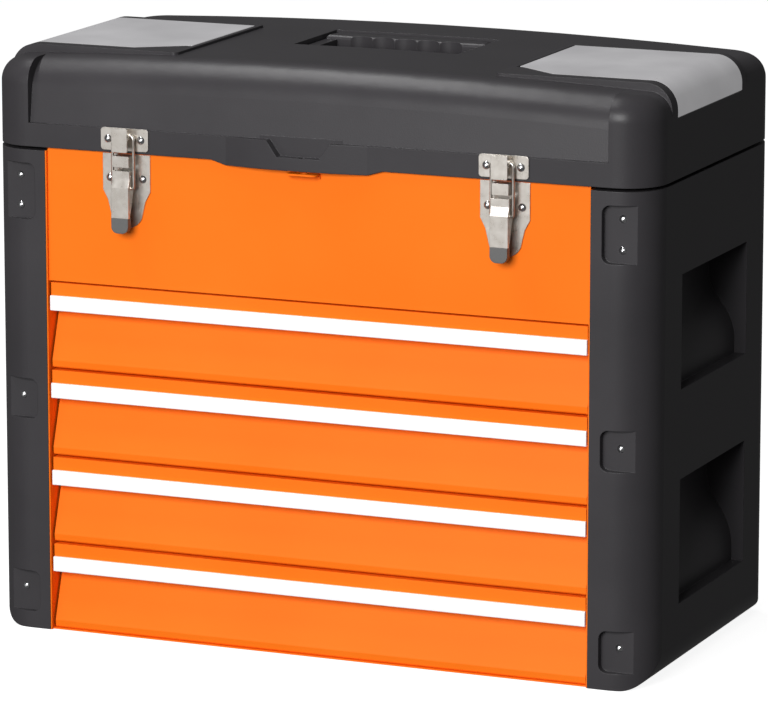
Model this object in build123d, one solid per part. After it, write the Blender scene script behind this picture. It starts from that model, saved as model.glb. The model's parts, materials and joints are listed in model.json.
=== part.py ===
from build123d import *
import os
from math import sqrt

os.makedirs("parts", exist_ok=True)

# Portable tool box with drawers, in millimetres. X runs left to right, Y from front to back and
# Z up from the surface it stands on. The origin is the middle of the base.

# ---- overall form
overall_width = 520.0
body_depth = 266.0
body_height = 362.0          # top of the end caps
cap_width = 46.0             # front face of each plastic end cap
corner_radius = 30.0         # upright corners of caps and lid
cap_bottom_radius = 22.0     # lower side edge of each cap
plastic_wall = 2.5
sheet = 1.0                  # cabinet steel
panel_inset = 3.0            # steel front behind the front plane of the caps
back_inset = 1.5             # steel back in front of the rear plane of the caps

# ---- lid
parting_gap = 2.5            # between caps and lid
crown_rise = 69.5            # lid's lower edge to the crest of its top
crown_half = 250.0
crown_drop = 6.3             # how far the top falls from the middle to crown_half
top_edge_radius = 18.0
housing_rise = 69.8          # lid's lower edge to the flat top of each organiser housing
housing_inner = 125.0        # from the middle of the lid
housing_front = 40.0         # from the front plane
housing_back = 196.0
housing_edge_radius = 20.0   # outer top edge
housing_corner = 4.0
band_height = 17.5           # plain band round the lid's lower front
post_width = 33.0            # corner posts; the front face is set back between them
recess_step = 2.5
recess_lean = 4.0
recess_lean_height = 28.0
recess_steps = 8             # straight lengths that follow the crown
recess_overshoot = 0.2
panel_rise = 3.0             # steel front reaches this far up inside the lid
panel_gap = 0.5
lip_drop = 3.5             # lower edge comes down in the middle of the front
lip_left = -80.0
lip_right = 55.0
lip_slope = 12.0
lock_bulge = 5.0             # band swells forward round the padlock hole
notch_left = -33.7
notch_right = 14.9
notch_slope = 8.0
notch_depth = 11.6
lock_hole_x = -6.5
lock_hole_radius = 2.7
staple_half_width = 12.0
staple_reach = 6.5           # in front of the front plane
staple_corner = 4.0
staple_gap = 3.0             # staple's underside below the lid's lip

# ---- organiser wells and their covers
cover_front = 52.0           # from the front plane
cover_back = 188.0
cover_inner = 130.0          # from the middle of the lid
cover_chamfer_x = 35.0
cover_chamfer_y = 25.0
cover_skirt_bottom = 409.0
cover_thickness = 2.5
cover_seat = 0.3
cover_gap = 0.6
cover_hinge_inset = 1.5      # hinge axis from the cover's inner edge
cover_pin_depth = 2.2        # hinge axis below the housing's top
cover_pin_radius = 1.0
cover_pin_length = 5.0
cover_pin_front = 7.0
cover_pin_back = 3.0
cover_groove_radius = 3.6    # room for the inner edge to turn down
cover_groove_front = 3.5
well_wall = 3.0
well_floor = 402.0
well_ribs = 2
well_rib = 2.0
running_clearance = 0.05

# ---- folding carry handle
pocket_half_width = 66.0
pocket_front = 118.0
pocket_back = 197.0
pocket_floor = 408.0
pocket_wall = 4.0
handle_side_gap = 1.5
handle_arm = 9.0
handle_pivot_y = 129.0
handle_pivot_z = 424.0
handle_arm_radius = 6.0
handle_bar_front = 174.0
handle_bar_back = 191.0
handle_bar_bottom = 419.0
handle_bar_top = 433.0
handle_corner = 12.0
handle_pin_radius = 3.0
handle_pin_seat = 3.0
finger_count = 5
finger_width = 18.0
finger_radius = 15.0

# ---- drawers
drawer_count = 4
drawer_pitch = 66.0
drawer_gap_top = 1.4
drawer_gap_bottom = 0.4
side_gap = 1.5
strip_drop = 11.0            # top of the handle strip below the drawer's upper limit
strip_height = 11.3
strip_thick = 2.0
strip_hook = 5.0
pull_depth = 13.5
lip_height = 5.5
tray_sheet = 0.8
tray_depth = 235.0
tray_top_gap = 9.0
slide_thick = 13.0
rail_sheet = 1.2
outer_rail_height = 32.0
inner_rail_height = 24.0
outer_rail_flange = 10.0
inner_rail_flange = 8.0
rail_length = 225.0
rail_front = 20.0            # from the front plane to the rails
drawer_travel = 180.0
ball_radius = 1.1
ball_rows = 3
cage_length = 44.0
cage_sheet = 0.8
cage_back_gap = 1.6

# ---- end cap details
grip_front = 64.0
grip_back = 204.0
grip_spans = ((210.0, 294.0), (52.0, 144.0))
grip_deep = 30.0
grip_shallow = 9.0
grip_ledge = 10.0
grip_lip = 20.0
rivet_pocket_depth = 5.5
rivet_pocket_reach = 37.5    # cap's outer side to the pockets' inner side
rivet_pocket_radius = 6.0
rivet_pockets = ((310.0, 352.0), (160.0, 190.0), (12.5, 43.5))
rivet_inset = 23.5           # cap's outer side to the rivets
rivet_heights = (342.0, 319.5, 176.5, 30.5)
rivet_head_radius = 2.9
rivet_head_height = 1.5
rivet_shank_radius = 1.6
flange_reach = 30.0          # cabinet side to the edge of the flange inside the cap
flange_margin = 8.0

# ---- latches
latch_inset = 65.5           # cap's inner side to the latch's middle
latch_sheet = 1.2
latch_half_width = 19.0
keeper_height = 16.6
keeper_top = 383.0
tongue_half_width = 6.3
tongue_stand_off = 7.8
tongue_rise = 1.0
shelf_height = 376.6
base_top = 363.6
base_straight = 27.0
base_bottom = 309.0
base_shoulder_half_width = 15.0
base_shoulder_drop = 7.5
base_nose_half_width = 12.0
base_nose_drop = 20.0
latch_rivet_x = 13.2
keeper_rivet_z = 374.8
base_rivet_z = 345.7
latch_head_radius = 3.0
latch_head_height = 1.6
latch_shank_radius = 1.3
pivot_stand_off = 6.2        # lever pivot in front of the base plate
pivot_z = 348.5
pivot_radius = 1.1
ear_half_width = 4.4
ear_radius = 2.2
ear_slope = 0.8              # ears fall to this far below the pivot at the plate: the lever turns over them
bridge_top_gap = 0.2
bridge_height = 8.4          # the lever's bend turns up to 0.3 below it
bridge_stand_off = 9.5
lever_half_width = 6.9
lever_cheek = 1.2
lever_cheek_radius = 4.0
lever_web_stand_off = 11.8   # lever's front, below its bend
lever_top_stand_off = 9.8    # lever's front over the pivot
lever_bend_high = 346.9
lever_bend_low = 340.4
lever_bottom = 317.8
tip_half_width = 6.7
tip_bottom = 306.7
tip_thick = 5.0
tip_proud = 0.6              # in front of the lever
tip_tang = 6.0               # part of the tip pushed up inside the lever
tip_corner = 5.0
pin_overhang = 0.1
wire_foot_reach = 0.5        # foot past the inner side of the lever's cheek
wire_radius = 1.15
wire_offset_x = 8.4
wire_bend = 3.0
wire_bar_lift = 0.3
wire_pivot_drop = 9.0
wire_pivot_back = 0.8

# ---- lid hinges
hinge_inset = 64.0           # cap's inner side to the hinge's middle
hinge_leaf_width = 50.0
hinge_sheet = 1.5
hinge_barrel_radius = 3.0
hinge_axis_back = 4.0        # behind the rear plane of the body
hinge_axis_rise = 1.2        # above the end caps
hinge_pin_radius = 1.5
hinge_leaf_height = 27.0
hinge_knuckle_gap = 0.4
hinge_rivet_spacing = 34.0
hinge_rivet_inset = 16.0

# ---- worked out from the sizes above
half_width = overall_width / 2
front = -body_depth / 2
back = body_depth / 2
opening_half = half_width - cap_width
inner_half = opening_half - sheet
recess_half_width = half_width - post_width
rivet_pocket_inner = half_width - rivet_pocket_reach
rivet_x = half_width - rivet_inset
latch_x = opening_half - latch_inset
hinge_x = opening_half - hinge_inset
panel_face = front + panel_inset
lid_bottom = body_height + parting_gap
crown_top = lid_bottom + crown_rise
housing_top = lid_bottom + housing_rise
band_top = lid_bottom + band_height
crown_radius = (crown_half ** 2 + crown_drop ** 2) / (2 * crown_drop)
drawer_zone_top = sheet + drawer_count * drawer_pitch
grow = 20.0                  # how far cutting tools overshoot

nodes = {}


def block(x, y, z):
    """Box between two limits along each axis."""
    size = Box(x[1] - x[0], y[1] - y[0], z[1] - z[0])
    return Pos((x[0] + x[1]) / 2, (y[0] + y[1]) / 2, (z[0] + z[1]) / 2) * size


def prism_x(outline, x):
    """YZ outline (points or edges) carried along X."""
    return extrude(Plane.YZ.offset(x[0]) * outline_face(outline), amount=x[1] - x[0], dir=(1, 0, 0))


def prism_y(outline, y):
    """XZ outline carried along Y."""
    return extrude(Plane.XZ.offset(-y[1]) * outline_face(outline), amount=y[1] - y[0], dir=(0, -1, 0))


def prism_z(outline, z):
    """XY outline carried along Z."""
    return extrude(Plane.XY.offset(z[0]) * outline_face(outline), amount=z[1] - z[0], dir=(0, 0, 1))


def outline_face(outline):
    if isinstance(outline[0], tuple):
        return Polygon(*outline, align=None)
    return make_face(outline)


def rod_x(x, y, z, radius):
    return Pos((x[0] + x[1]) / 2, y, z) * Rot(0, 90, 0) * Cylinder(radius, x[1] - x[0])


def rod_y(x, y, z, radius):
    return Pos(x, (y[0] + y[1]) / 2, z) * Rot(90, 0, 0) * Cylinder(radius, y[1] - y[0])


def rod_z(x, y, z, radius):
    return Pos(x, y, (z[0] + z[1]) / 2) * Cylinder(radius, z[1] - z[0])


def mirrored(shape):
    return mirror(shape, about=Plane.YZ)


def group(shapes):
    return Compound([solid for shape in shapes for solid in shape.solids()])


def folded_sheet(points, thick, x):
    """Sheet folded along a YZ line of points, thickness to the left of travel, carried along X."""
    path = Polyline(*points)
    section = make_face(offset(path, amount=thick, side=Side.LEFT, kind=Kind.INTERSECTION).edges())
    return extrude(Plane.YZ.offset(x[0]) * section, amount=x[1] - x[0], dir=(1, 0, 0))


def rivets(places, head_radius, head_height, shank_radius, shank_length, facing=-1):
    """Domed rivets with their heads' undersides at the given places, facing -Y or +Y."""
    middle = head_radius * 0.55
    dome = (head_radius ** 2 + head_height ** 2) / (2 * head_height)
    middle_height = sqrt(dome ** 2 - middle ** 2) - (dome - head_height)
    profile = outline_face([
        Line((0, -shank_length), (shank_radius, -shank_length)),
        Line((shank_radius, -shank_length), (shank_radius, 0)),
        Line((shank_radius, 0), (head_radius, 0)),
        ThreePointArc((head_radius, 0), (middle, middle_height), (0, head_height)),
        Line((0, head_height), (0, -shank_length)),
    ])
    one = Rot(-90 * facing, 0, 0) * revolve(Plane.XZ * profile, Axis.Z)
    return group([Pos(*place) * one for place in places])


# ---- lid

def crowned_block(y, bottom, top):
    """Block whose top is part of a wide cylinder with its crest along X = 0."""
    half = half_width + grow
    edge = top - crown_radius + sqrt(crown_radius ** 2 - half ** 2)
    return prism_y([
        Line((-half, bottom), (half, bottom)),
        Line((half, bottom), (half, edge)),
        ThreePointArc((half, edge), (0, top), (-half, edge)),
        Line((-half, edge), (-half, bottom)),
    ], y)


def crowned_body(inset, bottom):
    """Main body of the lid: rounded plan, crowned top and a rounded edge all round it."""
    plan = RectangleRounded(overall_width - 2 * inset, body_depth - 2 * inset, corner_radius - inset)
    post = extrude(Plane.XY.offset(bottom) * plan, amount=crown_top + grow - bottom)
    body = post & crowned_block((front - grow, back + grow), bottom - grow, crown_top - inset)
    return fillet(body.faces().sort_by(Axis.Z)[-1].edges(), top_edge_radius - inset)


def organiser_housing(inset, bottom):
    """Flat-topped box at the right-hand end of the lid, rounded over at its side."""
    left = housing_inner + inset
    right = half_width - inset
    top = housing_top - inset
    radius = housing_edge_radius - inset
    housing = prism_y([
        Line((left, bottom), (right, bottom)),
        Line((right, bottom), (right, top - radius)),
        TangentArc((right, top - radius), (right - radius, top), tangent=(0, 1)),
        Line((right - radius, top), (left, top)),
        Line((left, top), (left, bottom)),
    ], (front + housing_front + inset, front + housing_back - inset))
    return fillet(housing.edges().filter_by(Axis.Z).group_by(Axis.X)[0], housing_corner)


def crown_fall(x):
    """How far the crowned top has fallen at a distance from the middle."""
    return crown_radius - sqrt(crown_radius ** 2 - x ** 2)


def front_recess(inset):
    """Space in front of the lid's set-back, leaning front face, above the band."""
    half = recess_half_width + inset
    step = 2 * half / recess_steps
    tool = recess_slice(inset, -half, step)
    for number in range(1, recess_steps):
        tool += recess_slice(inset, number * step - half, step)
    return tool & block((-half, half), (front - grow, 0), (band_top - inset, crown_top + grow))


def recess_slice(inset, x, width):
    """One straight length of the recess, following the fall of the crown."""
    foot = front + recess_step + inset
    low = band_top - grow
    knee = (foot + recess_lean, band_top + recess_lean_height - crown_fall(x))
    rise = crown_top - inset + recess_overshoot - crown_fall(x) - knee[1]
    lean_length = sqrt(recess_lean ** 2 + recess_lean_height ** 2)
    run = rise * recess_lean_height / (lean_length - recess_lean)    # arc ends level
    crest = (knee[0] + run, knee[1] + rise)
    outline = [
        Line((front - grow, low), (foot, low)),
        Line((foot, low), (foot, band_top - crown_fall(x))),
        Line((foot, band_top - crown_fall(x)), knee),
        TangentArc(knee, crest, tangent=(recess_lean, recess_lean_height)),
        Line(crest, (crest[0], crest[1] + grow)),
        Line((crest[0], crest[1] + grow), (front - grow, crest[1] + grow)),
        Line((front - grow, crest[1] + grow), (front - grow, low)),
    ]
    drop = crown_fall(x + width) - crown_fall(x)
    length = sqrt(width ** 2 + drop ** 2)
    return extrude(Plane.YZ.offset(x) * outline_face(outline), amount=length, dir=(width, 0, -drop))


def lid_form(inset, bottom):
    """Solid shape of the whole lid, drawn in by inset on every side."""
    housing = organiser_housing(inset, bottom)
    return crowned_body(inset, bottom) + housing + mirrored(housing) - front_recess(inset)


def lock_band():
    """Solid middle of the band: it hangs lower, swells forward and carries the padlock hole."""
    low = lid_bottom - lip_drop
    lip = prism_y([
        (lip_left, lid_bottom + sheet), (lip_left, lid_bottom), (lip_left + lip_slope, low),
        (lip_right - lip_slope, low), (lip_right, lid_bottom), (lip_right, lid_bottom + sheet),
    ], (front, front + plastic_wall))
    swell_middle = (lip_left + lip_right) / 2
    swell = prism_z([
        ThreePointArc((lip_left + lip_slope, front), (swell_middle, front - lock_bulge),
                      (lip_right - lip_slope, front)),
        Line((lip_right - lip_slope, front), (lip_right - lip_slope, front + plastic_wall)),
        Line((lip_right - lip_slope, front + plastic_wall), (lip_left + lip_slope, front + plastic_wall)),
        Line((lip_left + lip_slope, front + plastic_wall), (lip_left + lip_slope, front)),
    ], (low, band_top))
    return lip + swell


def lock_notch():
    floor = band_top - notch_depth
    return prism_y([
        (notch_left - notch_slope / 8, band_top + sheet), (notch_left + notch_slope, floor),
        (notch_right - notch_slope, floor), (notch_right + notch_slope / 8, band_top + sheet),
    ], (front - grow, front + plastic_wall))


def notch_backing():
    """Wall that closes the lid behind the notch, clear of the steel front's top edge."""
    return block((notch_left - notch_slope, notch_right + notch_slope),
                 (front + plastic_wall, front + 2 * plastic_wall),
                 (lid_bottom + panel_rise + panel_gap, band_top + plastic_wall))


def cover_plan(spread):
    """Outline of the right-hand organiser cover, grown by spread all round."""
    inner = cover_inner - spread
    front_line = front + cover_front - spread
    back_line = front + cover_back + spread
    outer = half_width + grow
    return [
        (outer, front_line), (cover_inner + cover_chamfer_x, front_line),
        (inner, front_line + cover_chamfer_y), (inner, back_line), (outer, back_line),
    ]


def cover_space(spread, bottom):
    return prism_z(cover_plan(spread), (bottom, crown_top + grow))


def organiser_well():
    return cover_space(cover_gap + well_wall, well_floor - well_wall)


def organiser_bins():
    """Three open bins side by side under the cover."""
    right = half_width - plastic_wall - well_wall
    inside = prism_z(cover_plan(-well_wall), (well_floor, crown_top + grow))
    inside &= block((0, right), (front, back), (well_floor, crown_top + grow))
    start = cover_inner + well_wall
    step = (right - start) / (well_ribs + 1)
    rib_top = housing_top - cover_thickness - well_wall
    for number in range(1, well_ribs + 1):
        x = start + step * number
        inside -= block((x - well_rib / 2, x + well_rib / 2), (front, back), (0, rib_top))
    return inside


def cover_edge_rod(start_overshoot, end_overshoot, radius):
    """Rod on the cover's hinge axis, past both ends of its inner edge."""
    start = front + cover_front + cover_chamfer_y
    end = front + cover_back
    return rod_y(cover_inner + cover_hinge_inset, (start - start_overshoot, end + end_overshoot),
                 housing_top - cover_pin_depth, radius)


def cover_pins(radius, extra):
    """Stub pins at the two ends of the cover's inner edge."""
    pins = cover_edge_rod(cover_pin_front + extra, cover_pin_back + extra, radius)
    return pins - cover_edge_rod(-cover_pin_length, -cover_pin_length, 2 * radius)


def handle_pocket(spread):
    x = pocket_half_width + spread
    return block((-x, x), (front + pocket_front - spread, front + pocket_back + spread),
                 (pocket_floor - spread, crown_top + grow))


def handle_pins(clearance):
    inner = pocket_half_width - handle_side_gap - handle_arm
    outer = pocket_half_width + handle_pin_seat
    y = front + handle_pivot_y
    pin = rod_x((inner - clearance, outer), y, handle_pivot_z, handle_pin_radius + clearance)
    return [pin, mirrored(pin)]


def lid_shell():
    outer = lid_form(0, lid_bottom)
    shell = outer - lid_form(plastic_wall, lid_bottom - grow)
    well = organiser_well()
    shell += (well + mirrored(well) + handle_pocket(pocket_wall)) & outer
    shell += lock_band()
    shell -= lock_notch()
    shell += notch_backing()
    shell -= rod_z(lock_hole_x, front + lock_hole_y(), (body_height - grow, band_top), lock_hole_radius)
    carved = cover_space(cover_gap, cover_skirt_bottom - cover_gap)
    carved -= lid_form(cover_thickness + cover_seat, lid_bottom - grow)
    carved += organiser_bins()
    carved += cover_edge_rod(cover_groove_front, cover_gap, cover_groove_radius)
    carved += cover_pins(cover_pin_radius + running_clearance, cover_gap)
    shell -= carved
    shell -= mirrored(carved)
    shell -= handle_pocket(0)
    for pin in handle_pins(0):
        shell -= pin
    for place in keeper_rivet_places() + lid_hinge_rivet_places():
        shell -= rod_y(place[0], (place[1] - grow, place[1] + grow), place[2], latch_shank_radius)
    return shell


def lock_hole_y():
    return -lock_bulge / 2 + latch_sheet


def organiser_cover():
    plate = lid_form(0, lid_bottom) - lid_form(cover_thickness, lid_bottom - grow)
    plate &= cover_space(0, cover_skirt_bottom)
    return plate + cover_pins(cover_pin_radius, 0)


def carry_handle():
    """Folding loop: two arms, and a grip with finger hollows on its inner side."""
    outer = pocket_half_width - handle_side_gap
    inner = outer - handle_arm
    y_pivot = front + handle_pivot_y
    low = handle_pivot_z - handle_arm_radius
    high = handle_pivot_z + handle_arm_radius
    arm = block((inner, outer), (y_pivot, front + handle_bar_front), (low, high))
    arm += rod_x((inner, outer), y_pivot, handle_pivot_z, handle_arm_radius)
    bar = block((-outer, outer), (front + handle_bar_front, front + handle_bar_back),
                (handle_bar_bottom, handle_bar_top))
    bar = fillet(bar.edges().filter_by(Axis.Z).group_by(Axis.Y)[-1], handle_corner)
    bar = fillet(bar.edges().filter_by(Axis.X), 3.0)
    first = -(finger_count - 1) / 2 * finger_width
    depth = finger_radius - sqrt(finger_radius ** 2 - (finger_width / 2) ** 2)
    y_hollow = front + handle_bar_front + depth - finger_radius
    for number in range(finger_count):
        bar -= rod_z(first + number * finger_width, y_hollow,
                     (handle_bar_bottom - 1, handle_bar_top + 1), finger_radius)
    handle = bar + arm + mirrored(arm)
    for pin in handle_pins(running_clearance):
        handle -= pin
    return handle


# ---- cabinet

def cabinet_shell():
    """Folded steel: floor, two sides and the outward flanges that carry the end caps."""
    rear = back - back_inset
    shell = block((-opening_half, opening_half), (panel_face, rear), (0, sheet))
    side = block((inner_half, opening_half), (front + sheet / 2, rear), (0, body_height))
    flange_y = front + rivet_pocket_depth + plastic_wall
    flange_z = (flange_margin, body_height - flange_margin)
    for y in ((flange_y, flange_y + sheet), (-flange_y - sheet, -flange_y)):
        side += block((inner_half, opening_half + flange_reach), y, flange_z)
    shell += side + mirrored(side)
    for x in (-rivet_x, rivet_x):
        for z in rivet_heights:
            shell -= rod_y(x, (front, back), z, rivet_shank_radius)
    return shell


def back_panel():
    """Steel back with a narrow stiffening fold along its top."""
    rear = back - back_inset
    panel = block((-inner_half, inner_half), (rear - sheet, rear), (sheet, body_height))
    panel += block((-inner_half, inner_half), (rear - flange_margin, rear - sheet),
                   (body_height - sheet, body_height))
    for place in body_hinge_rivet_places():
        panel -= rod_y(place[0], (rear - grow, rear + grow), place[2], latch_shank_radius)
    return panel


def upper_front_panel():
    """Steel front above the drawers, folded back at the bottom to carry the floor."""
    panel = folded_sheet([
        (panel_face, lid_bottom + panel_rise), (panel_face, drawer_zone_top),
        (panel_face + 2 * flange_margin, drawer_zone_top),
    ], sheet, (-inner_half, inner_half))
    for place in base_rivet_places():
        panel -= rod_y(place[0], (panel_face - grow, panel_face + grow), place[2], latch_shank_radius)
    return panel


def compartment_floor():
    """Floor of the top compartment with an upstand at each side."""
    rear = back - back_inset - sheet
    face = panel_face + sheet
    floor = block((-inner_half, inner_half), (face, rear), (drawer_zone_top + sheet, drawer_zone_top + 2 * sheet))
    edge = block((inner_half - sheet, inner_half), (face, rear),
                 (drawer_zone_top + sheet, drawer_zone_top + flange_margin))
    return floor + edge + mirrored(edge)


def padlock_staple():
    """Tongue with a hole, standing out of the front panel right under the lid's padlock hole."""
    low = lid_bottom - lip_drop - staple_gap
    x = (lock_hole_x - staple_half_width, lock_hole_x + staple_half_width)
    tongue = block(x, (front - staple_reach, panel_face), (low, low + latch_sheet))
    tongue = fillet(tongue.edges().filter_by(Axis.Z).group_by(Axis.Y)[0], staple_corner)
    foot = block(x, (panel_face - latch_sheet, panel_face), (low - 2 * latch_sheet, low))
    hole = rod_z(lock_hole_x, front + lock_hole_y(), (low - grow, low + grow), lock_hole_radius)
    return tongue + foot - hole


def grip_void(span, spread):
    """Hand grip in an end cap: deep at the top for the fingers, sweeping out to a low ledge."""
    low = span[0] - spread
    high = span[1] + spread
    deep = half_width - grip_deep - spread
    shallow = half_width - grip_shallow - spread
    turn_high = high - grip_lip
    turn_low = low + grip_ledge
    middle = ((deep + shallow) / 2, (turn_high + turn_low) / 2)
    outline = [
        Line((half_width + grow, high), (deep, high)),
        Line((deep, high), (deep, turn_high)),
        TangentArc((deep, turn_high), middle, tangent=(0, -1)),
        TangentArc((shallow, turn_low), middle, tangent=(0, 1)),
        Line((shallow, turn_low), (shallow, low)),
        Line((shallow, low), (half_width + grow, low)),
        Line((half_width + grow, low), (half_width + grow, high)),
    ]
    return prism_y(outline, (front + grip_front - spread, front + grip_back + spread))


def rivet_pocket(span, spread):
    """Pocket in the front of a cap, with rounded inner corners, running out through its side."""
    pocket = block((rivet_pocket_inner - spread, half_width + grow),
                   (front - grow, front + rivet_pocket_depth + spread), (span[0] - spread, span[1] + spread))
    corners = pocket.edges().filter_by(Axis.Y).group_by(Axis.X)[0]
    return fillet(corners, rivet_pocket_radius)


def cap_form(inset, open_side):
    plan = RectangleRounded(overall_width - 2 * inset, body_depth - 2 * inset, corner_radius - inset)
    post = extrude(Plane.XY.offset(inset) * plan, amount=body_height - 2 * inset)
    radius = cap_bottom_radius - inset
    right = half_width - inset
    side_view = [
        Line((open_side, inset), (right - radius, inset)),
        TangentArc((right - radius, inset), (right, inset + radius), tangent=(1, 0)),
        Line((right, inset + radius), (right, body_height - inset)),
        Line((right, body_height - inset), (open_side, body_height - inset)),
        Line((open_side, body_height - inset), (open_side, inset)),
    ]
    return post & prism_y(side_view, (front, back))


def end_cap():
    """Right-hand plastic end cap: hollow, open towards the cabinet side."""
    outer = cap_form(0, opening_half)
    cap = outer - cap_form(plastic_wall, opening_half - grow)
    pockets = [rivet_pocket(span, plastic_wall) for span in rivet_pockets]
    voids = [rivet_pocket(span, 0) for span in rivet_pockets]
    pockets += [mirror(pocket, about=Plane.XZ) for pocket in pockets]
    voids += [mirror(void, about=Plane.XZ) for void in voids]
    pockets += [grip_void(span, plastic_wall) for span in grip_spans]
    voids += [grip_void(span, 0) for span in grip_spans]
    for pocket in pockets:
        cap += pocket & outer
    for void in voids:
        cap -= void
    for z in rivet_heights:
        cap -= rod_y(rivet_x, (front, back), z, rivet_shank_radius)
    return cap


def cap_rivet_places(y):
    return [(side * rivet_x, y, z) for side in (-1, 1) for z in rivet_heights]


# ---- latches

def base_rivet_places():
    return [(side * latch_x + offset, panel_face - latch_sheet, base_rivet_z)
            for side in (-1, 1) for offset in (-latch_rivet_x, latch_rivet_x)]


def keeper_rivet_places():
    return [(side * latch_x + offset, front - latch_sheet, keeper_rivet_z)
            for side in (-1, 1) for offset in (-latch_rivet_x, latch_rivet_x)]


def latch_keeper():
    """Plate on the lid with a hooked tongue in front of it, at X = 0."""
    face = front - latch_sheet
    plate = block((-latch_half_width, latch_half_width), (face, front),
                  (keeper_top - keeper_height, keeper_top))
    plate = fillet(plate.edges().filter_by(Axis.Y), 2.5)
    tongue_face = face - tongue_stand_off
    tongue = block((-tongue_half_width, tongue_half_width), (tongue_face - latch_sheet, tongue_face),
                   (keeper_top - keeper_height, keeper_top + tongue_rise))
    tongue = fillet(tongue.edges().filter_by(Axis.Y), 1.2)
    shelf = block((-tongue_half_width, tongue_half_width), (tongue_face, face),
                  (shelf_height - latch_sheet, shelf_height))
    keeper = plate + tongue + shelf
    for x in (-latch_rivet_x, latch_rivet_x):
        keeper -= rod_y(x, (front - grow, front), keeper_rivet_z, latch_shank_radius)
    return keeper


def pivot_y():
    return panel_face - latch_sheet - pivot_stand_off


def wire_bar():
    """Height and depth of the wire's top bar, resting just clear of the hook's shelf."""
    return pivot_y() + wire_pivot_back, shelf_height + wire_radius + wire_bar_lift


def latch_base():
    """Riveted plate with two pivot ears and a raised bridge, at X = 0."""
    face = panel_face - latch_sheet
    straight = base_top - base_straight
    shoulder = (base_shoulder_half_width, straight - base_shoulder_drop)
    nose = (base_nose_half_width, straight - base_nose_drop)
    outline = [
        Line((-latch_half_width, base_top), (latch_half_width, base_top)),
        Line((latch_half_width, base_top), (latch_half_width, straight)),
        Line((latch_half_width, straight), shoulder),
        Line(shoulder, nose),
        ThreePointArc(nose, (0, base_bottom), (-nose[0], nose[1])),
        Line((-nose[0], nose[1]), (-shoulder[0], shoulder[1])),
        Line((-shoulder[0], shoulder[1]), (-latch_half_width, straight)),
        Line((-latch_half_width, straight), (-latch_half_width, base_top)),
    ]
    plate = prism_y(outline, (face, panel_face))
    ear = prism_x([
        (pivot_y(), pivot_z + ear_radius), (face, pivot_z - ear_slope),
        (face, pivot_z - 2 * ear_radius), (pivot_y(), pivot_z - ear_radius),
    ], (ear_half_width - latch_sheet, ear_half_width))
    ear += rod_x((ear_half_width - latch_sheet, ear_half_width), pivot_y(), pivot_z, ear_radius)
    bridge_low = base_top - bridge_top_gap - bridge_height
    bridge = block((-tongue_half_width, tongue_half_width), (face - bridge_stand_off, face),
                   (bridge_low, bridge_low + bridge_height))
    bridge -= block((latch_sheet - tongue_half_width, tongue_half_width - latch_sheet),
                    (face - bridge_stand_off + latch_sheet, face), (0, body_height))
    base = plate + ear + mirrored(ear) + bridge
    base -= rod_x((-latch_half_width, latch_half_width), pivot_y(), pivot_z, pivot_radius)
    for x in (-latch_rivet_x, latch_rivet_x):
        base -= rod_y(x, (front - grow, panel_face), base_rivet_z, latch_shank_radius)
    return base


def lever_pin():
    half = lever_half_width + pin_overhang
    return rod_x((-half, half), pivot_y(), pivot_z, pivot_radius)


def lever_line():
    """Front line of the lever: straight, bent back over the pivot, and up to its top."""
    face = panel_face - latch_sheet
    return [
        (face - lever_web_stand_off, lever_bottom), (face - lever_web_stand_off, lever_bend_low),
        (face - lever_top_stand_off, lever_bend_high),
        (face - lever_top_stand_off, pivot_z + lever_cheek_radius),
    ]


def latch_lever():
    """Channel-shaped lever hanging from its pivot, with holes for the wire's feet."""
    foot, bend, shoulder, top = lever_line()
    wire_y, _ = wire_bar()
    wire_z = pivot_z - wire_pivot_drop
    cheek_low = wire_z - lever_cheek_radius
    rear = pivot_y() + lever_cheek_radius
    inside = [(y + lever_cheek, z) for y, z in (top, shoulder, bend, foot)]
    lever = prism_x([foot, bend, shoulder, top] + inside, (-lever_half_width, lever_half_width))
    cheek = [
        Line(foot, (foot[0] + 2 * lever_cheek, lever_bottom)),
        Line((foot[0] + 2 * lever_cheek, lever_bottom), (wire_y + lever_cheek_radius / 2, cheek_low)),
        Line((wire_y + lever_cheek_radius / 2, cheek_low), (rear, wire_z)),
        Line((rear, wire_z), (rear, pivot_z)),
        TangentArc((rear, pivot_z), (pivot_y(), top[1]), tangent=(0, 1)),
        Line((pivot_y(), top[1]), top),
        Line(top, shoulder),
        Line(shoulder, bend),
        Line(bend, foot),
    ]
    side = prism_x(cheek, (lever_half_width - lever_cheek, lever_half_width))
    lever += side + mirrored(side)
    width = 2 * lever_half_width
    lever -= rod_x((-width, width), pivot_y(), pivot_z, pivot_radius + running_clearance)
    lever -= rod_x((-width, width), wire_y, wire_z, wire_radius + running_clearance)
    return lever


def lever_tip():
    """Moulded finger tip under the lever, with a tang pushed up inside its channel."""
    web = lever_line()[0][0]
    back_face = web - tip_proud + tip_thick
    tip = block((-tip_half_width, tip_half_width), (web - tip_proud, back_face), (tip_bottom, lever_bottom))
    tip = fillet(tip.edges().filter_by(Axis.Y).group_by(Axis.Z)[0], tip_corner)
    half = lever_half_width - lever_cheek - running_clearance
    return tip + block((-half, half), (web + lever_cheek, back_face), (lever_bottom - 1, lever_bottom + tip_tang))


def wire_bail():
    """Wire loop: bar across the top, a leg each side and feet turned in through the lever."""
    y, bar_z = wire_bar()
    foot_z = pivot_z - wire_pivot_drop
    foot = lever_half_width - lever_cheek - wire_foot_reach
    corners = [
        (-foot, y, foot_z), (-wire_offset_x, y, foot_z), (-wire_offset_x, y, bar_z),
        (wire_offset_x, y, bar_z), (wire_offset_x, y, foot_z), (foot, y, foot_z),
    ]
    foot_bend = wire_offset_x - lever_half_width - 0.2
    path = FilletPolyline(*corners, radius=[foot_bend, wire_bend, wire_bend, foot_bend])
    return sweep(Plane(origin=corners[0], z_dir=(-1, 0, 0)) * Circle(wire_radius), path=path)


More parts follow.
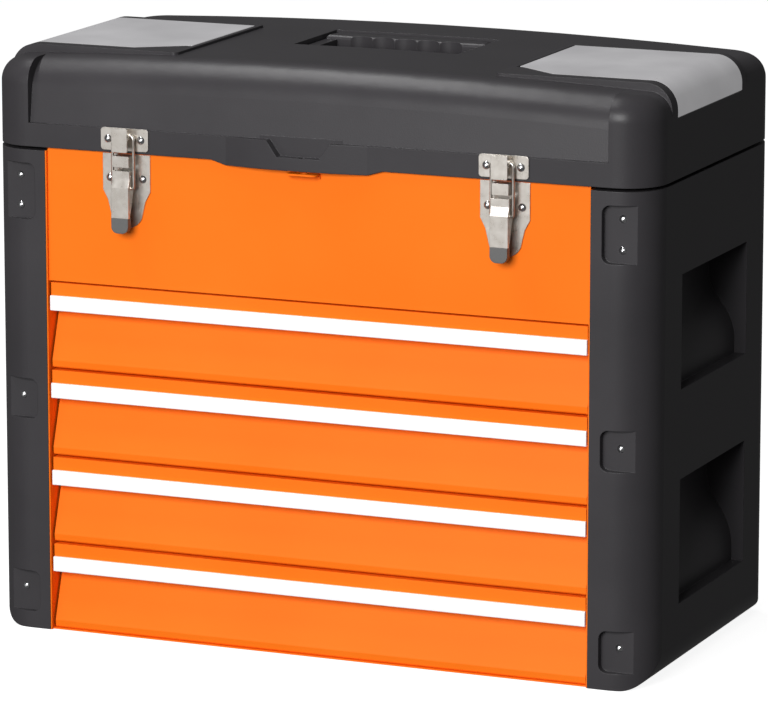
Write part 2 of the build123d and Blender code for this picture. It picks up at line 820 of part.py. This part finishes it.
# ---- lid hinges

def hinge_axis():
    return back + hinge_axis_back, body_height + hinge_axis_rise


def body_hinge_rivet_places():
    y = back - back_inset + hinge_sheet
    z = body_height - hinge_rivet_inset
    return [(side * hinge_x + offset, y, z) for side in (-1, 1)
            for offset in (-hinge_rivet_spacing / 2, hinge_rivet_spacing / 2)]


def lid_hinge_rivet_places():
    y = back + hinge_sheet
    z = lid_bottom + hinge_rivet_inset
    return [(side * hinge_x + offset, y, z) for side in (-1, 1)
            for offset in (-hinge_rivet_spacing / 2, hinge_rivet_spacing / 2)]


def hinge_leaf(face, plate_low, plate_high, elbow, knuckles):
    """Hinge leaf at X = 0: a plate against the face and knuckles on the hinge axis."""
    axis_y, axis_z = hinge_axis()
    half = hinge_leaf_width / 2
    plate = block((-half, half), (face, face + hinge_sheet), (plate_low, plate_high))
    leaf = plate
    for low, high in knuckles:
        leaf += rod_x((low, high), axis_y, axis_z, hinge_barrel_radius)
        leaf += prism_x([
            (face, elbow), (face + hinge_sheet, elbow),
            (axis_y + 1, axis_z), (axis_y - 1, axis_z),
        ], (low, high))
    leaf -= rod_x((-half, half), axis_y, axis_z, hinge_pin_radius)
    for x in (-hinge_rivet_spacing / 2, hinge_rivet_spacing / 2):
        leaf -= rod_y(x, (face - grow, face + grow), (plate_low + plate_high) / 2, latch_shank_radius)
    return leaf


def knuckle_spans(first):
    """Alternate thirds of the barrel: the two outer ones, or the middle one."""
    half = hinge_leaf_width / 2
    third = hinge_leaf_width / 3
    if first:
        return [(-half, -half + third - hinge_knuckle_gap), (half - third + hinge_knuckle_gap, half)]
    return [(-half + third, half - third)]


def body_hinge_leaf():
    face = back - back_inset
    middle = body_height - hinge_rivet_inset
    return hinge_leaf(face, middle - hinge_leaf_height / 2, middle + hinge_leaf_height / 2,
                      middle + hinge_leaf_height / 2 - hinge_sheet, knuckle_spans(True))


def lid_hinge_leaf():
    middle = lid_bottom + hinge_rivet_inset
    leaf = hinge_leaf(back, middle - hinge_leaf_height / 2, middle + hinge_leaf_height / 2,
                      middle - hinge_leaf_height / 2 + hinge_sheet, knuckle_spans(False))
    half = hinge_leaf_width / 2
    axis_y, axis_z = hinge_axis()
    return leaf - rod_x((-half, half), axis_y, axis_z, hinge_pin_radius + running_clearance)


# ---- drawers and slides

def zone(number):
    """Lower and upper limit of a drawer's space, counted from the top drawer."""
    top = drawer_zone_top - (number - 1) * drawer_pitch
    return top - drawer_pitch, top


def drawer_front(number):
    """Bent steel front: flange behind the handle strip, pull recess, slope and bottom lip."""
    low, high = zone(number)
    turn = high - strip_drop - strip_height + tray_sheet
    bottom = low + drawer_gap_bottom
    return folded_sheet([
        (front_back() + tray_sheet, high - drawer_gap_top), (panel_face, high - drawer_gap_top),
        (panel_face, turn), (panel_face + pull_depth, turn),
        (panel_face + sheet / 2, bottom + lip_height), (panel_face + sheet, bottom + sheet),
        (panel_face + 2 * sheet, bottom), (front_back() + flange_margin, bottom),
    ], sheet, (side_gap - inner_half, inner_half - side_gap))


def front_back():
    return panel_face + pull_depth + 1.5 * sheet


def drawer_tray(number):
    """Open box behind the front."""
    low, high = zone(number)
    floor = low + drawer_gap_bottom + sheet
    outer = inner_half - slide_thick
    rear = front_back() + tray_depth
    tray = block((-outer, outer), (front_back(), rear), (floor, high - tray_top_gap))
    tray -= block((tray_sheet - outer, outer - tray_sheet), (front_back() + tray_sheet, rear - tray_sheet),
                  (floor + tray_sheet, high))
    return tray + block((-outer, outer), (front_back(), front_back() + tray_sheet),
                        (floor, high - drawer_gap_top - sheet))


def handle_strip(number):
    """Light moulding hooked over the drawer front's lower flange edge."""
    low, high = zone(number)
    bottom = high - strip_drop - strip_height
    x = (side_gap - inner_half, inner_half - side_gap)
    bar = block(x, (panel_face - strip_thick, panel_face), (bottom, bottom + strip_height))
    bar = fillet(bar.edges().filter_by(Axis.X).group_by(Axis.Y)[0], 0.8)
    return bar + block(x, (panel_face - strip_thick / 2, panel_face + strip_hook), (bottom, bottom + tray_sheet))


def rail_centre(number):
    low, high = zone(number)
    return (low + high) / 2 - 2 * sheet


def channel(web_x, flange_x, y, middle, height, thick):
    """Channel along Y: a web at web_x and flanges reaching to flange_x."""
    low = middle - height / 2
    high = middle + height / 2
    step = thick if flange_x > web_x else -thick
    web = block(sorted((web_x, web_x + step)), y, (low, high))
    flange = sorted((web_x, flange_x))
    return web + block(flange, y, (low, low + thick)) + block(flange, y, (high - thick, high))


def rail_span():
    return front + rail_front, front + rail_front + rail_length


def outer_rail(number):
    return channel(inner_half, inner_half - outer_rail_flange, rail_span(), rail_centre(number),
                   outer_rail_height, rail_sheet)


def inner_rail(number):
    web = inner_half - slide_thick
    return channel(web, web + inner_rail_flange, rail_span(), rail_centre(number),
                   inner_rail_height, rail_sheet)


def ball_cage(number):
    """Strip that holds the balls of one slide apart, running at half the drawer's speed."""
    middle = rail_centre(number)
    ball_z = (inner_rail_height / 2 + outer_rail_height / 2 - rail_sheet) / 2
    centre_y = (2 * front + 2 * rail_front + rail_length) / 2
    y = (centre_y - cage_length / 2, centre_y + cage_length / 2)
    web = inner_half - rail_sheet - cage_back_gap
    reach = outer_rail_flange - rail_sheet - cage_back_gap
    cage = channel(web, web - reach, y, middle, 2 * ball_z + cage_sheet, cage_sheet)
    spacing = cage_length / ball_rows
    for place in range(ball_rows):
        for z in (middle - ball_z, middle + ball_z):
            ball_y = y[0] + spacing * (place + 0.5)
            cage += Pos(web - reach / 2 - cage_sheet, ball_y, z) * Sphere(ball_radius)
    return cage


def pair(shape):
    return group([shape, mirrored(shape)])


# ---- all the pieces

def build():
    nodes["cabinet_shell"] = cabinet_shell()
    nodes["back_panel"] = back_panel()
    nodes["upper_front_panel"] = upper_front_panel()
    nodes["compartment_floor"] = compartment_floor()
    nodes["padlock_staple"] = padlock_staple()
    cap = end_cap()
    nodes["right_end_cap"] = cap
    nodes["left_end_cap"] = mirrored(cap)
    seat = rivet_pocket_depth
    shank = plastic_wall + 2 * sheet
    nodes["front_cap_rivets"] = rivets(cap_rivet_places(front + seat), rivet_head_radius,
                                       rivet_head_height, rivet_shank_radius, shank)
    nodes["rear_cap_rivets"] = rivets(cap_rivet_places(back - seat), rivet_head_radius,
                                      rivet_head_height, rivet_shank_radius, shank, 1)
    nodes["lid_shell"] = lid_shell()
    nodes["carry_handle"] = carry_handle()
    nodes["carry_handle_pins"] = group(handle_pins(0))
    cover = organiser_cover()
    nodes["right_organiser_cover"] = cover
    nodes["left_organiser_cover"] = mirrored(cover)
    latch_pieces = {
        "keeper": latch_keeper(), "base": latch_base(), "lever_pin": lever_pin(),
        "lever": latch_lever(), "lever_tip": lever_tip(), "wire_bail": wire_bail(),
    }
    for side, x in (("left", -latch_x), ("right", latch_x)):
        for name, piece in latch_pieces.items():
            nodes[side + "_latch_" + name] = Pos(x, 0, 0) * piece
    nodes["latch_base_rivets"] = rivets(base_rivet_places(), latch_head_radius, latch_head_height,
                                        latch_shank_radius, latch_sheet + 2 * sheet)
    nodes["latch_keeper_rivets"] = rivets(keeper_rivet_places(), latch_head_radius, latch_head_height,
                                          latch_shank_radius, latch_sheet + plastic_wall)
    axis_y, axis_z = hinge_axis()
    half = hinge_leaf_width / 2
    hinge_pin = rod_x((-half, half), axis_y, axis_z, hinge_pin_radius)
    for side, x in (("left", -hinge_x), ("right", hinge_x)):
        nodes[side + "_hinge_body_leaf"] = Pos(x, 0, 0) * body_hinge_leaf()
        nodes[side + "_hinge_lid_leaf"] = Pos(x, 0, 0) * lid_hinge_leaf()
    nodes["hinge_pins"] = group([Pos(x, 0, 0) * hinge_pin for x in (-hinge_x, hinge_x)])
    nodes["hinge_body_rivets"] = rivets(body_hinge_rivet_places(), latch_head_radius, latch_head_height,
                                        latch_shank_radius, hinge_sheet + 2 * sheet, 1)
    nodes["hinge_lid_rivets"] = rivets(lid_hinge_rivet_places(), latch_head_radius, latch_head_height,
                                       latch_shank_radius, hinge_sheet + plastic_wall, 1)
    rails = [outer_rail(number) for number in range(1, drawer_count + 1)]
    nodes["right_cabinet_rails"] = group(rails)
    nodes["left_cabinet_rails"] = group([mirrored(rail) for rail in rails])
    for number in range(1, drawer_count + 1):
        name = "drawer_%d_" % number
        nodes[name + "front"] = drawer_front(number)
        nodes[name + "tray"] = drawer_tray(number)
        nodes[name + "handle_strip"] = handle_strip(number)
        nodes[name + "rails"] = pair(inner_rail(number))
        nodes[name + "ball_cages"] = pair(ball_cage(number))


build()
for name, shape in nodes.items():
    export_step(shape, "parts/" + name + ".step")
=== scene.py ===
import json
import math
import bmesh
import bpy
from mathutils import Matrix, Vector

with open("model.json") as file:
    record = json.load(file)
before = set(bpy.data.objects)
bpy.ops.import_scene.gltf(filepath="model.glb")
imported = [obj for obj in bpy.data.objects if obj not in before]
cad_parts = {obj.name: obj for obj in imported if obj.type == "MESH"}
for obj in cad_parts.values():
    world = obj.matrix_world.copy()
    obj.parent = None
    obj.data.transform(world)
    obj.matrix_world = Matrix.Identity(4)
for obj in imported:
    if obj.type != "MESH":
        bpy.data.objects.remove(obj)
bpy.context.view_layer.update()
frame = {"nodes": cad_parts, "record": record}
nodes = frame["nodes"]
print("frame loaded:", len(nodes), "nodes")


class Flow:
    def __init__(self, tree, socket=None):
        self.tree = tree
        self.socket = socket

    def plug(self, place, value):
        if isinstance(value, Flow):
            self.tree.links.new(value.socket, place)
        else:
            place.default_value = value

    def node(self, kind, settings, sockets, output=0):
        made = self.tree.nodes.new("ShaderNode" + kind)
        for name, value in settings.items():
            setattr(made, name, value)
        for name, value in sockets.items():
            self.plug(made.inputs[name], value)
        return Flow(self.tree, made.outputs[output])

    def calc(self, operation, first, second):
        return self.node("Math", {"operation": operation}, {0: first, 1: second})

    def __add__(self, other):
        return self.calc("ADD", self, other)

    def __radd__(self, other):
        return self.calc("ADD", other, self)

    def __mul__(self, other):
        return self.calc("MULTIPLY", self, other)

    def __rmul__(self, other):
        return self.calc("MULTIPLY", other, self)

    def spread(self, low, high):
        return self.node("MapRange", {}, {"Value": self, "From Min": low, "From Max": high})

    def tint(self, tones):     # from the first colour to the second
        first, second = tones
        colours = {"Factor": self, 6: (*first, 1), 7: (*second, 1)}
        return self.node("Mix", {"data_type": "RGBA"}, colours, 2)


def objectPlace(flow):
    return flow.node("TexCoord", {}, {}, "Object")


def noise(flow, place, scale, detail=2.0, roughness=0.5):
    sockets = {"Vector": place, "Scale": scale, "Detail": detail, "Roughness": roughness}
    return flow.node("TexNoise", {}, sockets)


def cloudy(flow, place, scale, detail=3.0, roughness=0.5):     # broad patches, full contrast
    return noise(flow, place, scale, detail, roughness).spread(0.3, 0.7)


def drawn(flow, place, stretch):       # fine lines along one direction
    return flow.node("Mapping", {}, {"Vector": place, "Scale": stretch})


def bumped(flow, height, finish):
    rounded = flow.node("Bevel", {"samples": 6}, {"Radius": finish["edge"]})
    sockets = {"Strength": finish["bump"], "Distance": finish["depth"], "Height": height, "Normal": rounded}
    return flow.node("Bump", {}, sockets)


def surface(name, recipe):
    material = bpy.data.materials.new(name)
    material.use_nodes = True
    flow = Flow(material.node_tree)
    shader = material.node_tree.nodes["Principled BSDF"]
    for key, value in recipe(flow).items():
        flow.plug(shader.inputs[key], value)
    return material


# In every finish: bump is a strength, depth and edge are metres, edge is the worn corner's radius,
# and a scale counts features in a metre.
coat = {
    "tones": ((1.0, 0.180, 0.006), (1.0, 0.200, 0.010)),
    "cloud": 7.0,
    "peel": 900.0,             # orange-peel texture of the powder coat
    "speck": 3200.0,
    "roughness": 0.42,
    "specular": 0.12,
    "bump": 0.12,
    "depth": 0.00012,
    "edge": 0.0005,
}


def powderCoat(flow):
    place = objectPlace(flow)
    cloud = cloudy(flow, place, coat["cloud"])
    peel = noise(flow, place, coat["peel"])
    speck = noise(flow, place, coat["speck"], 1.0)
    return {
        "Base Color": cloud.tint(coat["tones"]),
        "Roughness": cloud * 0.07 + speck * 0.06 + coat["roughness"],
        "Specular IOR Level": coat["specular"],
        "Normal": bumped(flow, peel + speck * 0.3, coat),
    }


moulding = {
    "tones": ((0.036, 0.034, 0.037), (0.050, 0.047, 0.051)),
    "cloud": 9.0,
    "pebble": 1100.0,          # moulded grain
    "fine": 2600.0,
    "roughness": 0.30,
    "specular": 0.22,
    "bump": 0.22,
    "depth": 0.00015,
    "edge": 0.0008,
}


def grainedPlastic(flow):
    place = objectPlace(flow)
    cloud = cloudy(flow, place, moulding["cloud"], 4.0, 0.6)
    grain = {"Vector": place, "Scale": moulding["pebble"], "Smoothness": 0.6}
    pebble = flow.node("TexVoronoi", {"feature": "SMOOTH_F1"}, grain)
    fine = noise(flow, place, moulding["fine"])
    return {
        "Base Color": (cloud * 0.6 + fine * 0.4).tint(moulding["tones"]),
        "Roughness": cloud * 0.05 + fine * 0.06 + moulding["roughness"],
        "Specular IOR Level": moulding["specular"],
        "Normal": bumped(flow, pebble + fine * 0.4, moulding),
    }


cover = {
    "tones": ((0.27, 0.265, 0.275), (0.34, 0.335, 0.345)),
    "glow": ((0.19, 0.188, 0.192), (0.23, 0.228, 0.232)),      # painted glow: the covers give off light though they are no lamp
    "cloud": 14.0,
    "fine": 1500.0,
    "roughness": 0.30,
    "bump": 0.08,
    "depth": 0.0001,
    "edge": 0.0006,
}


def smokyPlastic(flow):
    place = objectPlace(flow)
    cloud = cloudy(flow, place, cover["cloud"])
    fine = noise(flow, place, cover["fine"])
    return {
        "Base Color": cloud.tint(cover["tones"]),
        "Roughness": cloud * 0.05 + fine * 0.05 + cover["roughness"],
        # painted glow: the cover emits its own light, brightening it though it is no lamp
        "Emission Color": cloud.tint(cover["glow"]),
        "Emission Strength": 1.0,
        "Normal": bumped(flow, fine, cover),
    }


strip = {
    "tones": ((0.86, 0.86, 0.87), (0.93, 0.93, 0.93)),
    # painted glow: the white strips give off light though they are no lamp
    "glow": 0.12,
    "stretch": (4.0, 300.0, 900.0),        # drawn lengthways
    "roughness": 0.26,
    "bump": 0.05,
    "depth": 0.0001,
    "edge": 0.0004,
}


def whiteStrip(flow):
    lines = noise(flow, drawn(flow, objectPlace(flow), strip["stretch"]), 1.0, 3.0)
    return {
        "Base Color": lines.tint(strip["tones"]),
        "Roughness": lines * 0.12 + strip["roughness"],
        # painted glow: white emission brightening the strip though it is no lamp
        "Emission Color": (1, 1, 1, 1),
        "Emission Strength": strip["glow"],
        "Normal": bumped(flow, lines, strip),
    }


latch = {
    "tones": ((0.62, 0.575, 0.52), (0.72, 0.68, 0.63)),
    "stretch": (1600.0, 1600.0, 90.0),     # brushed up and down
    "cloud": 160.0,
    "roughness": 0.20,
    "bump": 0.08,
    "depth": 0.00006,
    "edge": 0.00035,
}


def nickelSheet(flow):
    place = objectPlace(flow)
    brushed = noise(flow, drawn(flow, place, latch["stretch"]), 1.0, 4.0, 0.6)
    cloud = cloudy(flow, place, latch["cloud"])
    return {
        "Base Color": cloud.tint(latch["tones"]),
        "Metallic": 1.0,
        "Roughness": brushed * 0.14 + cloud * 0.06 + latch["roughness"],
        "Normal": bumped(flow, brushed, latch),
    }


rivet = {
    "tones": ((0.70, 0.70, 0.72), (0.82, 0.82, 0.83)),
    "cloud": 500.0,
    "roughness": 0.16,
    "bump": 0.05,
    "depth": 0.00005,
    "edge": 0.0003,
}


def chromeRivet(flow):
    cloud = cloudy(flow, objectPlace(flow), rivet["cloud"])
    return {
        "Base Color": cloud.tint(rivet["tones"]),
        "Metallic": 1.0,
        "Roughness": cloud * 0.10 + rivet["roughness"],
        "Normal": bumped(flow, cloud, rivet),
    }


rail = {
    "tones": ((0.50, 0.51, 0.52), (0.62, 0.63, 0.64)),
    "spangle": 120.0,          # zinc crystals
    "fine": 900.0,
    "metallic": 0.9,
    "roughness": 0.30,
    "bump": 0.06,
    "depth": 0.00008,
    "edge": 0.0003,
}


def zincSheet(flow):
    place = objectPlace(flow)
    spangle = flow.node("TexVoronoi", {}, {"Vector": place, "Scale": rail["spangle"]}, "Color")
    grey = flow.node("SeparateColor", {}, {"Color": spangle})
    fine = noise(flow, place, rail["fine"], 3.0)
    return {
        "Base Color": grey.tint(rail["tones"]),
        "Metallic": rail["metallic"],
        "Roughness": grey * 0.10 + fine * 0.08 + rail["roughness"],
        "Normal": bumped(flow, fine, rail),
    }


tip = {
    "tones": ((0.10, 0.10, 0.10), (0.14, 0.138, 0.135)),
    "fine": 1800.0,
    "roughness": 0.38,
    "bump": 0.15,
    "depth": 0.0001,
    "edge": 0.0008,
}


def tipPlastic(flow):
    fine = noise(flow, objectPlace(flow), tip["fine"])
    return {
        "Base Color": fine.tint(tip["tones"]),
        "Roughness": fine * 0.12 + tip["roughness"],
        "Normal": bumped(flow, fine, tip),
    }


materials = {
    "orange_steel": surface("orangeSteel", powderCoat),
    "charcoal_plastic": surface("charcoalPlastic", grainedPlastic),
    "cover_plastic": surface("coverPlastic", smokyPlastic),
    "strip_plastic": surface("stripPlastic", whiteStrip),
    "latch_steel": surface("latchSteel", nickelSheet),
    "rivet_steel": surface("rivetSteel", chromeRivet),
    "tip_plastic": surface("tipPlastic", tipPlastic),
    "zinc_steel": surface("zincSteel", zincSheet),
}
for part in frame["record"]["subparts"]:
    mesh = nodes[part["node"]].data
    mesh.materials.clear()
    mesh.materials.append(materials[part["material_slot"]])
print("materials on:", len(materials))


ground = {
    "size": 30,
    "tone": (0.4, 0.4, 0.4, 1),
    "roughness": 0.9,
    "glow": 0.9,               # keeps the floor as white as the backdrop
}


def paleGround(flow):
    return {
        "Base Color": ground["tone"],
        "Roughness": ground["roughness"],
        "Specular IOR Level": 0.0,
        "Emission Color": (1, 1, 1, 1),
        "Emission Strength": ground["glow"],
    }


def makeFloor():
    shape = bmesh.new()
    bmesh.ops.create_grid(shape, x_segments=1, y_segments=1, size=ground["size"])
    mesh = bpy.data.meshes.new("studioFloor")
    shape.to_mesh(mesh)
    shape.free()
    floor = bpy.data.objects.new("studioFloor", mesh)
    bpy.context.scene.collection.objects.link(floor)
    floor.data.materials.append(surface("paleFloor", paleGround))
    floor.visible_glossy = False       # the floor neither shows in the box nor lights it
    floor.visible_diffuse = False
    floor.visible_shadow = False


lamps = {
    "keyLight": {"place": (0.1, -3.7, 1.5), "aim": (0, 0, 0.2), "size": (1.8, 1.6), "power": 140},
    "topLight": {"place": (-1.05, -0.1, 3.0), "aim": (0, 0, 0.43), "size": (2.2, 0.24), "power": 46},
    "frontCard": {"place": (-1.2, -3.0, 0.1), "aim": (0, 0, 0.2), "size": (2.2, 2.0), "power": 9},
}


def softLight(name, lamp):
    light = bpy.data.lights.new(name, "AREA")
    light.shape = "RECTANGLE"
    light.size, light.size_y = lamp["size"]
    light.energy = lamp["power"]
    shining = bpy.data.objects.new(name, light)
    shining.location = lamp["place"]
    towards = Vector(lamp["aim"]) - Vector(lamp["place"])
    shining.rotation_euler = towards.to_track_quat("-Z", "Y").to_euler()
    bpy.context.scene.collection.objects.link(shining)


def makeWorld(strength):
    world = bpy.data.worlds.new("studioWorld")
    world.use_nodes = True
    backdrop = world.node_tree.nodes["Background"]
    backdrop.inputs["Color"].default_value = (1, 1, 1, 1)
    backdrop.inputs["Strength"].default_value = strength
    bpy.context.scene.world = world


view = {
    "lens": 252.7,             # millimetres on a 36 mm sensor
    "place": (1.5382, -3.6253, 1.0171),
    "tilt": 11.738,            # degrees below the horizon
    "turn": 22.994,
    "near": 0.05,
    "far": 60,
}


def makeCamera():
    lens = bpy.data.cameras.new("photoCamera")
    lens.lens = view["lens"]
    lens.sensor_width = 36
    lens.clip_start = view["near"]
    lens.clip_end = view["far"]
    camera = bpy.data.objects.new("photoCamera", lens)
    camera.location = view["place"]
    camera.rotation_euler = (math.radians(90 - view["tilt"]), 0, math.radians(view["turn"]))
    bpy.context.scene.collection.objects.link(camera)
    bpy.context.scene.camera = camera


makeFloor()
for name, lamp in lamps.items():
    softLight(name, lamp)
makeWorld(0.09)
makeCamera()
bpy.context.scene.view_settings.view_transform = "Standard"        # keeps the orange as deep as it is
print("stage, lights and camera set")
